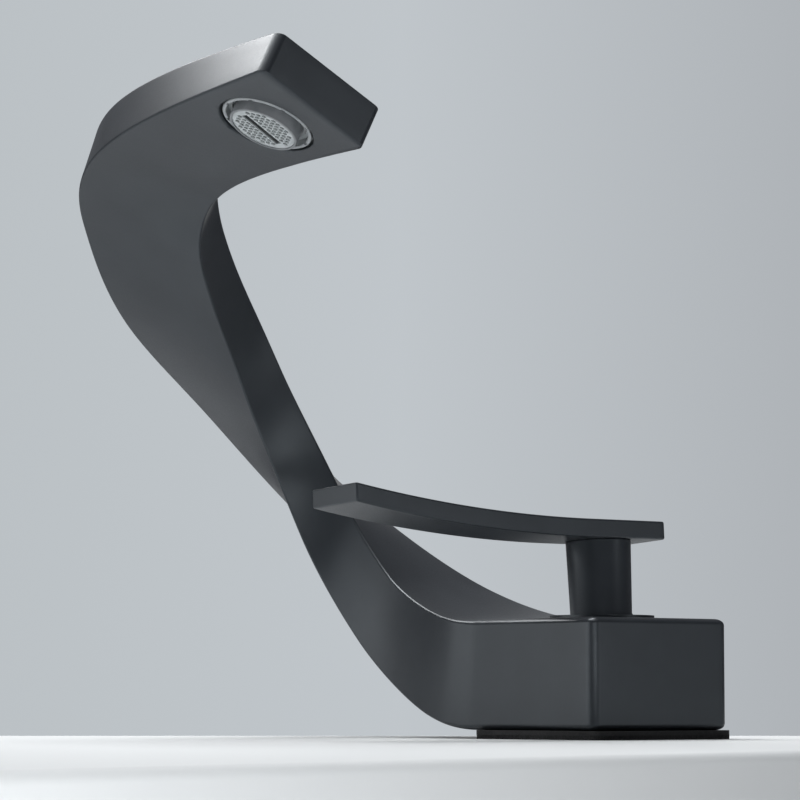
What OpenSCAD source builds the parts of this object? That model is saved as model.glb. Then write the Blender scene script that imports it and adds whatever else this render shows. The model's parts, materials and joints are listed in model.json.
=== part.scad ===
// Bathroom mixer faucet: a square base block whose left side runs out into one long flat ribbon.
// The ribbon climbs, turns half round in front of the block and ends in the outlet.
// A flat lever stands over the block on a round stem and works a ceramic cartridge.
// Millimetres. +Z is up, the user stands at -Y, the origin is the middle of the footprint on the deck.

/* [Base block] */
// Side of the square base block
block_side = 50; // [48:1:60]
// Height of the base block
block_h = 31; // [31:0.5:40]
// Rounding of the block's edges
block_edge_r = 2; // [1:0.5:3]
// Thickness of the rubber gasket under the block
gasket_t = 1.3; // [0.8:0.1:2.5]
// Thickness of the foam pad under the gasket
pad_t = 1.2; // [0.8:0.1:3]
// Amount by which the gasket stands out beyond the block on each side
gasket_margin = 0.9; // [0:0.1:3]
// Corner radius of the gasket and the pad
gasket_corner_r = 3; // [1:0.5:6]
// Turn of the loosely laid gasket
gasket_yaw = 4; // [0:1:8]
// Radius of the two hose holes through the gasket and the pad
hose_hole_r = 6; // [5.2:0.1:6.2]

/* [Spout] */
// How far the ribbon swings out to the left of the block
spout_side = 98; // [90:1:115]
// How far the outlet stands in front of the block's middle
spout_front = 112; // [100:1:130]
// Height of the ribbon's end above the block's middle
spout_rise = 151; // [130:1:170]
// Width of the ribbon at its end
tip_w = 37; // [34:1:42]
// Thickness of the ribbon at its end
tip_t = 13; // [13:0.5:16]
// Lean of the ribbon at its end, towards the user
tip_bank = 28; // [15:1:35]
// Rounding of the ribbon's long edges
ribbon_edge_r = 1; // [0.5:0.5:3]
// Rounding of the ribbon's end
tip_edge_r = 2; // [1:0.5:3]

/* [Waterways] */
// Wall of the hollow ribbon
spout_wall = 4; // [3:0.5:4.5]
// Width of the channel that enters the outlet
channel_w = 16; // [10:1:18]
// Least height of the channel
channel_h = 5; // [4:0.5:5.5]
// Shift of the channel towards the ribbon's upper face at the outlet
channel_shift = 2.2; // [1.8:0.1:2.4]
// Wall radius of the M10x1 inlet threads
inlet_r = 4.46; // [4:0.01:4.6]
// Depth of the inlet threads
inlet_depth = 5; // [4:0.5:5.5]
// Sideways place of each inlet
inlet_x = 7; // [6.5:0.5:8]
// Backward place of both inlets
inlet_y = 5; // [4:0.5:6]
// Radius of each port between an inlet and the cartridge
port_r = 2.2; // [1.5:0.1:2.5]
// Wall of the cartridge's foot outside the seal of each inlet port
port_margin = 0.8; // [0.4:0.1:1]
// Backward place of the two cartridge ports
port_y = 4; // [3:0.1:4.5]
// Forward place of the mixed water port
mixed_y = 5; // [4.5:0.5:5.5]
// Radius of the mixed water port and of the drilling that it feeds
mixed_r = 2.5; // [1.5:0.1:2.5]

/* [Cartridge] */
// Radius of the cartridge housing
housing_r = 13; // [12.5:0.1:13.4]
// Wall of the cartridge housing
housing_wall = 2; // [1.8:0.1:2.4]
// Height of the cartridge seat above the block's underside
seat_h = 8; // [7.5:0.5:9]
// Thickness of the plate at the cartridge's foot
foot_t = 2.5; // [2:0.1:3]
// Thickness of each ceramic disc
disc_t = 2.5; // [2:0.1:2.6]
// Gap between the fixed ceramic disc and the housing
disc_gap = 0.5; // [0.2:0.1:1.5]
// Radius of the sliding ceramic disc
moving_disc_r = 7; // [6.5:0.1:7.4]
// Thickness of the disc carrier
carrier_t = 2.5; // [2.4:0.1:3]
// Radius of the disc carrier
carrier_r = 7.5; // [7:0.1:7.6]
// Thickness of the rotor's flange
flange_t = 1.5; // [1.2:0.1:2]
// Thickness of the housing's roof
roof_t = 2; // [1.5:0.1:2.2]
// Height of the neck above the housing's roof
neck_h = 7; // [6.8:0.1:7.2]
// Outer radius of the neck
neck_r = 6.5; // [6.2:0.1:6.8]
// Radius of the rotor's shaft
rotor_r = 5; // [4.9:0.1:5.2]
// Height of the rotor above the pivot
pivot_cover = 2; // [1.5:0.1:2.5]
// Radius of the clamping nut and of the bore that it screws into
nut_r = 14; // [13.8:0.1:14.4]
// Height of the clamping nut
nut_h = 5.5; // [4:0.5:6]
// Radius of the trim ring's flange
trim_r = 14.7; // [14.5:0.1:16]
// Height of the trim ring's flange above the block
trim_h = 1; // [0.6:0.1:1.2]
// Radius of the opening through the nut and the trim ring
mouth_r = 11.7; // [11.6:0.1:12]
// Radius of the O-ring section round the housing
ring_section_r = 0.7; // [0.6:0.05:0.8]

/* [Handle] */
// Largest lift of the lever
lift_max = 20; // [12:1:20]
// Height of the lever's pivot below the block's top
pivot_drop = 4.5; // [4.3:0.1:4.6]
// Radius of the stem at its foot
stem_r = 8.7; // [8:0.1:8.8]
// Radius of the stem at its top
stem_top_r = 9.2; // [8.8:0.1:9.5]
// Height of the stem's top above the block
stem_h = 22.0; // [20:0.1:26]
// Outer radius of the stem's round foot
foot_ball_r = 10.5; // [10.3:0.1:10.8]
// Wall of the stem's round foot
foot_ball_wall = 1.9; // [1.5:0.1:2]
// Width of the lever
lever_w = 20; // [18:0.5:22]
// Sideways lean of stem and lever to the left
handle_lean = 3.3; // [0:0.1:4]
// Thickness of the lever
lever_t = 5.2; // [4.5:0.1:7]
// Reach of the lever in front of the stem's axis
lever_front = 92; // [70:1:100]
// Reach of the lever behind the stem's axis
lever_back = 16.5; // [12:0.5:20]
// Rise of the lever towards its front end
lever_rise = 7.1; // [3:0.1:10]
// Radius of the spindle's rod
rod_r = 2; // [1.9:0.05:2.1]
// Side of the spindle's square head
square_side = 6; // [5:0.5:6.5]
// Radius of the pivot pin
pin_r = 1; // [0.8:0.1:1.1]
// Radius of the M6 stud between the stem and the lever
joint_stud_r = 3; // [2.5:0.5:3.5]
// Radius of the M5 grub screw in the stem's back
grub_r = 2.5; // [2:0.5:3]

/* [Outlet] */
// Distance of the outlet's middle from the ribbon's end
outlet_inset = 22; // [20:1:30]
// Radius of the outlet's screwed housing
outlet_r = 13; // [12.5:0.1:13.5]
// Depth of the outlet's screwed housing
outlet_depth = 9.3; // [9.1:0.1:9.5]
// Depth of the housing's rim below the ribbon's face
rim_drop = 0.6; // [0.3:0.1:0.7]
// Width of the housing's front rim
rim_w = 1; // [0.8:0.1:1.2]
// Gap round the front rim
rim_gap = 1; // [0.6:0.1:1.1]
// Depth of the gap round the front rim
rim_gap_depth = 1.5; // [1:0.1:2]
// Depth of the recess inside the rim
rim_recess = 1.8; // [1.4:0.1:1.8]
// Least wall of the housing round the ball's socket
socket_wall = 2.15; // [2:0.05:2.4]
// Gap between the spray insert and the housing's rim
insert_gap = 1.5; // [1.4:0.1:2]
// How far the spray insert stands out of the ribbon's face
insert_proud = 1.8; // [0.5:0.1:2.2]
// Tilt of the spray insert as it was last left
swivel_rest = 3; // [0:1:8]
// Tilt axis of the spray insert, measured round the outlet from the ribbon's direction
swivel_turn = 205; // [0:5:355]
// Wall of the spray insert round its screen
insert_wall = 0.7; // [0.6:0.1:1.5]
// Thickness of the spray screen
screen_t = 1.2; // [0.8:0.1:1.6]
// Width of the key slot across the spray screen
screen_slot = 2.2; // [1:0.1:2.5]
// Length of the key slot
slot_len = 13.4; // [10:0.1:14]
// Distance of the key slot from the screen's middle
slot_off = 0.8; // [0:0.1:1.5]
// Direction of the key slot round the outlet
slot_turn = 85; // [0:5:180]

/* [Clamp] */
// Thickness of the deck that the faucet is clamped to
deck_t = 20; // [5:1:40]
// Radius of the M8 clamp stud
stud_r = 4; // [3:0.5:4]
// Length of the clamp stud below the deck's top
stud_below = 60; // [55:1:90]
// Length of the clamp stud screwed into the block
stud_hold = 6; // [5:0.5:6.5]
// Forward place of the clamp stud
stud_front = 13.5; // [13.5:0.5:15]
// Radius of the horseshoe washers
washer_r = 24; // [22:1:28]
// Half of the gap in the horseshoe washers
washer_gap = 12; // [11:0.5:13]
// Thickness of the rubber horseshoe
rubber_t = 2; // [1:0.5:3]
// Thickness of the steel horseshoe
plate_t = 2; // [1.5:0.5:3]
// Width across the flats of the clamp nut
clamp_nut_af = 13; // [13:1:17]
// Height of the clamp nut
clamp_nut_h = 6.5; // [5:0.5:10]

/* [Fits] */
// Gap of a shaft that turns in a hole
running_fit = 0.05; // [0.02:0.01:0.08]
// Gap of a screwed or pressed piece in its hole
thread_gap = 0.03; // [0.02:0.01:0.05]
// Gap beside pieces that slide on each other
slide_gap = 0.1; // [0.05:0.05:0.15]

/* [Hidden] */

fine = 96;
big = 0.01;
black = [0.07, 0.075, 0.085];
dark_rubber = [0.04, 0.04, 0.045];
white_plastic = [0.86, 0.86, 0.83];
grey_plastic = [0.55, 0.57, 0.58];
ceramic = [0.93, 0.92, 0.88];
brass = [0.78, 0.62, 0.32];
steel = [0.7, 0.71, 0.72];

// heights of the block and of what is stacked in it
block_z = pad_t + gasket_t;
block_top = block_z + block_h;
block_mid = block_z + block_h / 2;
seat_z = block_z + seat_h;
disc_z = seat_z + foot_t;
moving_z = disc_z + disc_t;
carrier_z = moving_z + disc_t;
flange_z = carrier_z + carrier_t;
roof_z = flange_z + flange_t;
roof_top = roof_z + roof_t;
neck_top = roof_top + neck_h;
pivot_z = block_top - pivot_drop;
housing_bore = housing_r - housing_wall;
fixed_disc_r = housing_bore - disc_gap;
seal_r = 0.6;
port_x = sqrt(pow(housing_bore - port_margin - port_r - 2 * seal_r, 2) - pow(port_y, 2));

// the ribbon's stations: sideways, forward and upward shares of the spout's three reaches,
// then the width, the thickness and the lean there
stations = [
    [0, 0, 0, block_side, block_h, 0],
    [0.13, 0, 0, 53, 30.5, 1],
    [0.59, -0.035, 0.1, 50, 21, -8],
    [0.9, 0.1, 0.31, 45, 17, 1],
    [1, 0.34, 0.57, 44, 14, 14],
    [0.94, 0.56, 0.71, 42, 15.5, 18],
    [0.745, 0.775, 0.84, 38, 14.5, 21],
    [0.46, 1, 0.985, 36, 15, 16],
    [-0.46, 1, 1, tip_w, tip_t, tip_bank]];
last = len(stations) - 1;
function placed(s) = [-block_side / 2 - spout_side * s[0], -spout_front * s[1],
    block_mid + spout_rise * s[2], s[3], s[4], s[5]];
path = [for (s = stations) placed(s)];
// one more station beyond each end makes the curve start and end on the path
knots = concat([2 * path[0] - path[1]], path, [2 * path[last] - path[last - 1]]);

// a smooth curve blended from four neighbouring stations, and its slope
function span(u) = min(floor(u), last - 1);
function blend(i, t) = (pow(1 - t, 3) * knots[i] + (3 * pow(t, 3) - 6 * pow(t, 2) + 4) * knots[i + 1]
    + (-3 * pow(t, 3) + 3 * pow(t, 2) + 3 * t + 1) * knots[i + 2] + pow(t, 3) * knots[i + 3]) / 6;
function lean(i, t) = (-pow(1 - t, 2) * knots[i] + (3 * pow(t, 2) - 4 * t) * knots[i + 1]
    + (-3 * pow(t, 2) + 2 * t + 1) * knots[i + 2] + pow(t, 2) * knots[i + 3]) / 2;
function at(u) = blend(span(u), u - span(u));
function slope(u) = lean(span(u), u - span(u));
function xyz(v) = [v[0], v[1], v[2]];
function unit(v) = v / norm(v);

// the ribbon's frame: its direction, its inner side (level before it leans) and its upper face
function along(u) = unit(xyz(slope(u)));
function level_side(u) = unit([-slope(u)[1], slope(u)[0], 0]);
function side(u) = level_side(u) * cos(at(u)[5]) - cross(along(u), level_side(u)) * sin(at(u)[5]);
function up(u) = cross(along(u), side(u));

// a rectangle with rounded corners, as points in a plane through p spanned by s and n
function ring(p, s, n, a, b, r) = [for (q = [[1, 1], [-1, 1], [-1, -1], [1, -1]]) for (k = [0:2])
    let (t = 45 * k, c = q[0] * q[1] > 0 ? [cos(t), sin(t)] : [sin(t), cos(t)])
    p + s * q[0] * (a - r + r * c[0]) + n * q[1] * (b - r + r * c[1])];
module sweep(rings) {
    m = len(rings[0]);
    k = len(rings);
    polyhedron(
        points = [for (r = rings) each r],
        faces = concat(
            [[for (j = [0:m - 1]) j]],
            [for (i = [0:k - 2]) for (j = [0:m - 1]) [i * m + j, (i + 1) * m + j, (i + 1) * m + (j + 1) % m]],
            [for (i = [0:k - 2]) for (j = [0:m - 1]) [i * m + j, (i + 1) * m + (j + 1) % m, i * m + (j + 1) % m]],
            [[for (j = [m - 1:-1:0]) (k - 1) * m + j]]),
        convexity = 8);
}

// the outlet's middle on the ribbon's underside, with its own axes: x along the ribbon, z outwards
outlet_u = last - outlet_inset / norm(xyz(path[last] - path[last - 1]));
outlet_p = xyz(at(outlet_u)) - up(outlet_u) * at(outlet_u)[4] / 2;
outlet_z = -up(outlet_u);
outlet_x = along(outlet_u);
outlet_y = cross(outlet_z, outlet_x);
module at_outlet() {
    multmatrix([
        [outlet_x[0], outlet_y[0], outlet_z[0], outlet_p[0]],
        [outlet_x[1], outlet_y[1], outlet_z[1], outlet_p[1]],
        [outlet_x[2], outlet_y[2], outlet_z[2], outlet_p[2]],
        [0, 0, 0, 1]]) children();
}
rim_outer = outlet_r - rim_gap;
rim_inner = rim_outer - rim_w;
ball_r = outlet_r - socket_wall - running_fit;
insert_r = rim_inner - insert_gap;
ball_inset = 2.9;
ball_z = -rim_drop - rim_recess - ball_inset;
outlet_bottom = -rim_drop - outlet_depth;
seal_t = 0.5;
seal_w = 3;
chamber_t = 1;
module at_swivel() {
    at_outlet() translate([0, 0, ball_z]) rotate([0, 0, swivel_turn]) rotate([swivel_rest, 0, 0])
        rotate([0, 0, -swivel_turn]) children();
}

// a round bar, tube or hole along z
module rod(r, low, high) {
    translate([0, 0, low]) cylinder(r = r, h = high - low, $fn = fine);
}
module tube(outer, inner, low, high) {
    difference() {
        rod(outer, low, high);
        rod(inner, low - 1, high + 1);
    }
}
module o_ring(major, minor) {
    rotate_extrude($fn = 64) translate([major, 0]) circle(r = minor, $fn = 24);
}

// ---- the block and its ribbon, one casting ----
block_rings = [for (t = [0:30:90])
    let (inset = block_edge_r * (1 - sin(t)))
    ring([block_side / 2 - block_edge_r * (1 - cos(t)), 0, block_mid], [0, -1, 0], [0, 0, 1],
        block_side / 2 - inset, block_h / 2 - inset, ribbon_edge_r)];
ribbon_step = 0.2;
ribbon_rings = [for (u = [0:ribbon_step:last - 0.1])
    ring(xyz(at(u)), side(u), up(u), at(u)[3] / 2, at(u)[4] / 2, ribbon_edge_r)];
tip_p = xyz(path[last]);
tip_rings = [for (t = [90:-30:0])
    let (inset = tip_edge_r * (1 - sin(t)))
    ring(tip_p - along(last) * tip_edge_r * (1 - cos(t)), side(last), up(last),
        tip_w / 2 - inset, tip_t / 2 - inset, ribbon_edge_r)];
// the hollow is as wide as its walls allow, and narrows to the channel before it meets the outlet
channel_step = 0.25;
narrow_from = 6.2;
narrow_to = 7.2;
function narrowing(u) = max(0, min(1, (u - narrow_from) / (narrow_to - narrow_from)));
function hollow_half(u) = (1 - narrowing(u)) * (at(u)[3] / 2 - spout_wall) + narrowing(u) * channel_w / 2;
channel_rings = [for (u = [0:channel_step:outlet_u])
    ring(xyz(at(u)) + up(u) * channel_shift * u / last, side(u), up(u),
        hollow_half(u), max(channel_h / 2, at(u)[4] / 2 - spout_wall), 1)];
chamber_wall = 3;
chamber_x = -housing_r - chamber_wall;
chamber_low = 1.5;
drill_z = block_z + seat_h / 2;

module block_passages() {
    for (s = [-1, 1]) {
        translate([s * inlet_x, inlet_y, 0]) rod(inlet_r, block_z - 1, block_z + inlet_depth);
        translate([s * port_x, port_y, 0]) rod(port_r, block_z + inlet_depth - 0.5, seat_z + 1);
    }
    translate([0, -mixed_y, 0]) rod(mixed_r, drill_z, seat_z + 1);
    translate([0, -mixed_y, drill_z]) rotate([0, -90, 0]) rod(mixed_r, -mixed_r, -chamber_x + 1);
    translate([-block_side / 2 - 0.5, -channel_w / 2, block_z + chamber_low])
        cube([chamber_x + block_side / 2 + 0.5, channel_w,
            block_h / 2 - chamber_low + channel_h / 2]);
}
module body() {
    color(black) difference() {
        sweep(concat(block_rings, ribbon_rings, tip_rings));
        sweep(channel_rings);
        block_passages();
        rod(housing_r + running_fit, seat_z, block_top + 1);
        rod(nut_r + thread_gap, roof_top, block_top + 1);
        translate([0, -stud_front, 0]) rod(stud_r + thread_gap, block_z - 1, block_z + stud_hold);
        translate([0, foot_peg_y, 0]) rod(foot_peg_r + thread_gap, seat_z - foot_peg_h - 0.2, seat_z + 1);
        at_outlet() {
            rod(outlet_r + thread_gap, outlet_bottom - seal_t, 2);
            rod(outlet_r - seal_w, outlet_bottom - seal_t - chamber_t, 0);
        }
    }
}

// ---- gasket and pad ----
module base_sheet(t, yaw) {
    half = block_side / 2 + gasket_margin - gasket_corner_r;
    difference() {
        rotate([0, 0, yaw]) hull() for (x = [-half, half]) for (y = [-half, half])
            translate([x, y, 0]) cylinder(r = gasket_corner_r, h = t, $fn = 32);
        for (s = [-1, 1]) translate([s * inlet_x, inlet_y, 0]) rod(hose_hole_r, -1, t + 1);
        translate([0, -stud_front, 0]) rod(stud_r + 0.3, -1, t + 1);
    }
}
module base_gasket() {
    color(dark_rubber) translate([0, 0, pad_t]) base_sheet(gasket_t, gasket_yaw);
}
module foam_pad() {
    color(dark_rubber) base_sheet(pad_t, gasket_yaw - 1.5);
}

// ---- cartridge ----
foot_peg_r = 1;
foot_peg_h = 2;
foot_peg_y = 8.5;
seal_groove = 1.1;
key_w = 3;
key_depth = 1.5;
module trim_ring() {
    color(black) difference() {
        union() {
            rod(nut_r, roof_top + nut_h, block_top);
            rod(trim_r, block_top, block_top + trim_h);
        }
        rod(mouth_r, roof_top, block_top + trim_h + 1);
    }
}
module cartridge_nut() {
    color(brass) difference() {
        tube(nut_r, mouth_r, roof_top, roof_top + nut_h);
        for (a = [0:90:270]) rotate([0, 0, a])
            translate([mouth_r - 1, -key_w / 2, roof_top + nut_h - key_depth])
            cube([nut_r - mouth_r + 0.3, key_w, key_depth + 1]);
    }
}
module cartridge_housing() {
    color(white_plastic) difference() {
        union() {
            rod(housing_r, seat_z, roof_top);
            rod(neck_r, roof_top, neck_top);
        }
        rod(housing_bore, seat_z - 1, roof_z);
        rod(rotor_r + running_fit, roof_z - 1, neck_top + 1);
        translate([0, 0, seat_z + seal_groove]) rotate_extrude($fn = fine)
            translate([housing_r - 2 * ring_section_r + running_fit, 0])
            square([4 * ring_section_r, 2 * ring_section_r]);
    }
}
module housing_seal() {
    color(dark_rubber) translate([0, 0, seat_z + seal_groove + ring_section_r])
        o_ring(housing_r - ring_section_r + running_fit, ring_section_r);
}
module port_holes(low, high) {
    for (s = [-1, 1]) translate([s * port_x, port_y, 0]) rod(port_r, low, high);
    translate([0, -mixed_y, 0]) rod(mixed_r, low, high);
}
seal_places = [[port_x, port_y, port_r], [-port_x, port_y, port_r], [0, -mixed_y, mixed_r]];
module cartridge_foot() {
    color(white_plastic) difference() {
        union() {
            rod(housing_bore - thread_gap, seat_z, disc_z);
            translate([0, foot_peg_y, 0]) rod(foot_peg_r, seat_z - foot_peg_h, seat_z + 1);
        }
        port_holes(seat_z - 1, disc_z + 1);
        for (p = seal_places) translate([p[0], p[1], 0]) rod(p[2] + 2 * seal_r, seat_z - 1, seat_z + 2 * seal_r);
    }
}
module port_seals() {
    color(dark_rubber) for (p = seal_places)
        translate([p[0], p[1], seat_z + seal_r]) o_ring(p[2] + seal_r, seal_r);
}
module fixed_disc() {
    color(ceramic) difference() {
        rod(fixed_disc_r, disc_z, moving_z);
        port_holes(disc_z - 1, moving_z + 1);
    }
}
pocket_y = 1;
pocket_r = 3;
module moving_disc() {
    color(ceramic) difference() {
        rod(moving_disc_r, moving_z, carrier_z);
        translate([0, -pocket_y, 0]) rod(pocket_r, moving_z - 1, moving_z + disc_t / 2);
    }
}
carrier_half = 6;
tip_r = 1.5;
tip_lift = 1.7;
tip_z = carrier_z + tip_lift;
module disc_carrier() {
    color(grey_plastic) difference() {
        intersection() {
            rod(carrier_r, carrier_z, flange_z);
            translate([-carrier_half, -carrier_r - 1, carrier_z])
                cube([2 * carrier_half, 2 * carrier_r + 2, carrier_t]);
        }
        rod(tip_r + running_fit, carrier_z - 1, flange_z + 1);
    }
}
// the slot clears the spindle over its whole lift: its thin rod in front, its thick rod behind,
// and the ball at its tip where that rises into the flange
rod_gap = 0.2;
flange_gap = 0.5;
guide_w = 2.2;
guide_l = 11;
thin_rod_r = 1.1;
thick_below = 4.5;
slot_front = max((pivot_z - roof_z) * tan(lift_max) + thin_rod_r / cos(lift_max),
    thick_below * sin(lift_max) + rod_r * cos(lift_max)) + rod_gap;
slot_back = pivot_cover * sin(lift_max) + rod_r / cos(lift_max) + rod_gap;
ball_swing = (pivot_z - tip_z) * sin(lift_max);
rotor_top = pivot_z + pivot_cover;
module rotor() {
    color(grey_plastic) difference() {
        union() {
            rod(rotor_r, flange_z, rotor_top);
            rod(housing_bore - flange_gap, flange_z, roof_z);
            intersection() {
                for (s = [-1, 1]) translate([s * (carrier_half + slide_gap + guide_w / 2) - guide_w / 2,
                    -guide_l / 2, carrier_z + rod_gap]) cube([guide_w, guide_l, carrier_t]);
                rod(housing_bore - flange_gap, carrier_z, roof_z);
            }
        }
        translate([-rod_r - rod_gap, -slot_front, flange_z - 1])
            cube([2 * (rod_r + rod_gap), slot_front + slot_back, rotor_top - flange_z + 2]);
        translate([0, -ball_swing, 0]) rod(tip_r + rod_gap, flange_z - 1, roof_z);
        translate([-rotor_r - 1, 0, pivot_z]) rotate([0, 90, 0]) rod(pin_r, 0, 2 * rotor_r + 2);
    }
}
module pivot_pin() {
    color(steel) translate([0, 0, pivot_z]) rotate([0, 90, 0]) rod(pin_r, -rotor_r + 0.1, rotor_r - 0.1);
}

// ---- handle ----
square_gap = 0.6;
square_up = 12.5;
thin_top = pivot_z - thick_below;
square_low = max(neck_top, rotor_top) + square_side / 2 * sin(lift_max) + square_gap;
square_high = block_top + square_up;
ball_inner = foot_ball_r - foot_ball_wall;
stem_low = pivot_z + sqrt(pow(foot_ball_r, 2) - pow(stem_r, 2));
stem_top = block_top + stem_h;
grub_up = 8.5;
grub_z = block_top + grub_up;
grub_inset = 0.6;
grub_hex = 1.45;
hex_depth = 2;
joint_stud_hold = 7;
joint_stud_low = stem_top - joint_stud_hold;
joint_stud_in = 3.4;
stud_end_gap = 0.2;
// stem and lever lean together about the pivot
module leaning() {
    translate([0, 0, pivot_z]) rotate([0, -handle_lean, 0]) translate([0, 0, -pivot_z]) children();
}
module spindle() {
    color(steel) difference() {
        union() {
            translate([0, 0, tip_z]) sphere(r = tip_r, $fn = 48);
            rod(thin_rod_r, tip_z, thin_top + big);
            rod(rod_r, thin_top, square_low + big);
            translate([-square_side / 2, -square_side / 2, square_low])
                cube([square_side, square_side, square_high - square_low]);
        }
        translate([0, 0, pivot_z]) rotate([0, 90, 0]) rod(pin_r + running_fit, -rod_r - 1, rod_r + 1);
    }
}
module stem() {
    color(black) difference() {
        leaning() difference() {
            union() {
                intersection() {
                    translate([0, 0, pivot_z]) sphere(r = foot_ball_r, $fn = fine);
                    rod(foot_ball_r + 1, pivot_z - 1, stem_low + big);
                }
                translate([0, 0, stem_low])
                    cylinder(r1 = stem_r, r2 = stem_top_r, h = stem_top - stem_low, $fn = fine);
            }
            translate([0, 0, pivot_z]) sphere(r = ball_inner, $fn = fine);
        }
        translate([-square_side / 2 - thread_gap, -square_side / 2 - thread_gap, pivot_z])
            cube([square_side + 2 * thread_gap, square_side + 2 * thread_gap, square_high - pivot_z]);
        translate([0, square_side / 2, grub_z]) rotate([-90, 0, 0]) rod(grub_r + thread_gap, 0, stem_top_r);
        rod(joint_stud_r + thread_gap, joint_stud_low, stem_top + 1);
    }
}
module grub_screw() {
    color(steel) translate([0, square_side / 2, grub_z]) rotate([-90, 0, 0]) difference() {
        rod(grub_r, thread_gap, stem_r - square_side / 2 - grub_inset);
        translate([0, 0, stem_r - square_side / 2 - grub_inset - hex_depth])
            cylinder(r = grub_hex, h = 2 * hex_depth, $fn = 6);
    }
}
module joint_stud() {
    color(steel) rod(joint_stud_r, joint_stud_low + stud_end_gap, stem_top + joint_stud_in - stud_end_gap);
}
// the lever is straight over the stem and then bends up along an arc
lever_flat = lever_w / 2;
lever_arc = lever_front - lever_flat;
lever_bend_r = (pow(lever_arc, 2) + pow(lever_rise, 2)) / (2 * lever_rise);
module lever_outline() {
    translate([-lever_flat, 0]) square([lever_flat + lever_back, lever_t]);
    intersection() {
        translate([-lever_front, -1]) square([lever_arc + 0.02, lever_rise + lever_t + 2]);
        translate([-lever_flat, lever_t + lever_bend_r]) difference() {
            circle(r = lever_bend_r + lever_t, $fn = 720);
            circle(r = lever_bend_r, $fn = 720);
        }
    }
}
module lever() {
    color(black) difference() {
        leaning() translate([-lever_w / 2, 0, stem_top])
            rotate([90, 0, 90]) linear_extrude(lever_w) lever_outline();
        rod(joint_stud_r + thread_gap, stem_top - 1, stem_top + joint_stud_in);
    }
}

// ---- outlet ----
notch_w = 1.6;
notch_depth = 2;
notch_reach = 0.6;
module outlet_housing() {
    color(grey_plastic) at_outlet() difference() {
        union() {
            rod(outlet_r, outlet_bottom, -rim_drop - rim_gap_depth);
            rod(rim_outer, outlet_bottom, -rim_drop);
        }
        rod(rim_inner, -rim_drop - rim_recess, 1);
        translate([0, 0, ball_z]) sphere(r = ball_r + running_fit, $fn = fine);
        rod(ball_r + running_fit, outlet_bottom - 1, ball_z);
        for (a = [15:45:330]) rotate([0, 0, a])
            translate([rim_inner - 1, -notch_w / 2, -rim_drop - notch_depth])
            cube([1 + notch_reach, notch_w, notch_depth + 1]);
    }
}
module outlet_seal() {
    color(dark_rubber) at_outlet() tube(outlet_r, outlet_r - seal_w, outlet_bottom - seal_t, outlet_bottom);
}
ball_back = 3;
ball_front = 2.6;
insert_top = insert_proud - ball_z;
insert_step = 1;
bore_r = insert_r - insert_wall - insert_step;
screen_r = insert_r - insert_wall - thread_gap;
screen_inset = 0.3;
screen_low = insert_top - screen_t - screen_inset;
module swivel_ball() {
    color(grey_plastic) at_swivel() difference() {
        union() {
            intersection() {
                sphere(r = ball_r, $fn = fine);
                rod(ball_r + 1, -ball_back, ball_front);
            }
            rod(insert_r, 0, insert_top);
        }
        rod(bore_r, -ball_back - 1, insert_top + 1);
        rod(screen_r + thread_gap, screen_low, insert_top + 1);
    }
}
jet_r = 0.6;
module mixing_disc() {
    color(white_plastic) at_swivel() difference() {
        rod(bore_r - thread_gap, -1, 0.5);
        for (a = [0:40:320]) rotate([0, 0, a]) translate([bore_r * 0.6, 0, 0]) rod(jet_r, -2, 2);
        rod(jet_r, -2, 2);
    }
}
// hexagonal cells on both sides of the key slot
mesh_pitch = 3;
cell_r = 1.2;
row_pitch = mesh_pitch * sqrt(3) / 2;
function cell(i, j, s) = [(i + (j % 2) / 2) * mesh_pitch, slot_off + s * (screen_slot / 2 + (j - 0.45) * row_pitch)];
module spray_screen() {
    color(grey_plastic) at_swivel() rotate([0, 0, slot_turn]) difference() {
        rod(screen_r, screen_low, screen_low + screen_t);
        for (i = [-3:2]) for (j = [1:4]) for (s = [-1, 1])
            if (norm(cell(i, j, s)) < screen_r - cell_r - 0.4)
            translate([cell(i, j, s)[0], cell(i, j, s)[1], screen_low - 1])
            cylinder(r = cell_r, h = screen_t + 2, $fn = 6);
        translate([-slot_len / 2, slot_off - screen_slot / 2, screen_low - 1])
            cube([slot_len, screen_slot, screen_t + 2]);
    }
}

// ---- clamp under the deck ----
module clamp_stud() {
    color(steel) translate([0, -stud_front, 0]) rod(stud_r, -stud_below, block_z + stud_hold - 0.3);
}
module horseshoe(low, t) {
    reach = stud_front - stud_r - 1.5;
    difference() {
        rod(washer_r, low, low + t);
        translate([0, washer_gap - reach, 0]) rod(washer_gap, low - 1, low + t + 1);
        translate([-washer_gap, washer_gap - reach, low - 1]) cube([2 * washer_gap, washer_r * 2, t + 2]);
        translate([0, -stud_front, 0]) rod(stud_r + 0.3, low - 1, low + t + 1);
    }
}
module clamp_rubber() {
    color(dark_rubber) horseshoe(-deck_t - rubber_t, rubber_t);
}
module clamp_plate() {
    color(steel) horseshoe(-deck_t - rubber_t - plate_t, plate_t);
}
module clamp_nut() {
    low = -deck_t - rubber_t - plate_t - clamp_nut_h;
    color(brass) translate([0, -stud_front, 0]) difference() {
        translate([0, 0, low]) cylinder(r = clamp_nut_af / sqrt(3), h = clamp_nut_h, $fn = 6);
        rod(stud_r + thread_gap, low - 1, low + clamp_nut_h + 1);
    }
}

body();
base_gasket();
foam_pad();
trim_ring();
cartridge_nut();
cartridge_housing();
cartridge_foot();
port_seals();
housing_seal();
fixed_disc();
moving_disc();
disc_carrier();
rotor();
pivot_pin();
spindle();
stem();
grub_screw();
joint_stud();
lever();
outlet_housing();
outlet_seal();
swivel_ball();
mixing_disc();
spray_screen();
clamp_stud();
clamp_rubber();
clamp_plate();
clamp_nut();
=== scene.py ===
import json
from math import asin, cos, degrees, pi, radians, sin, sqrt

import bmesh
import bpy
from mathutils import Matrix, Vector


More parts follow.
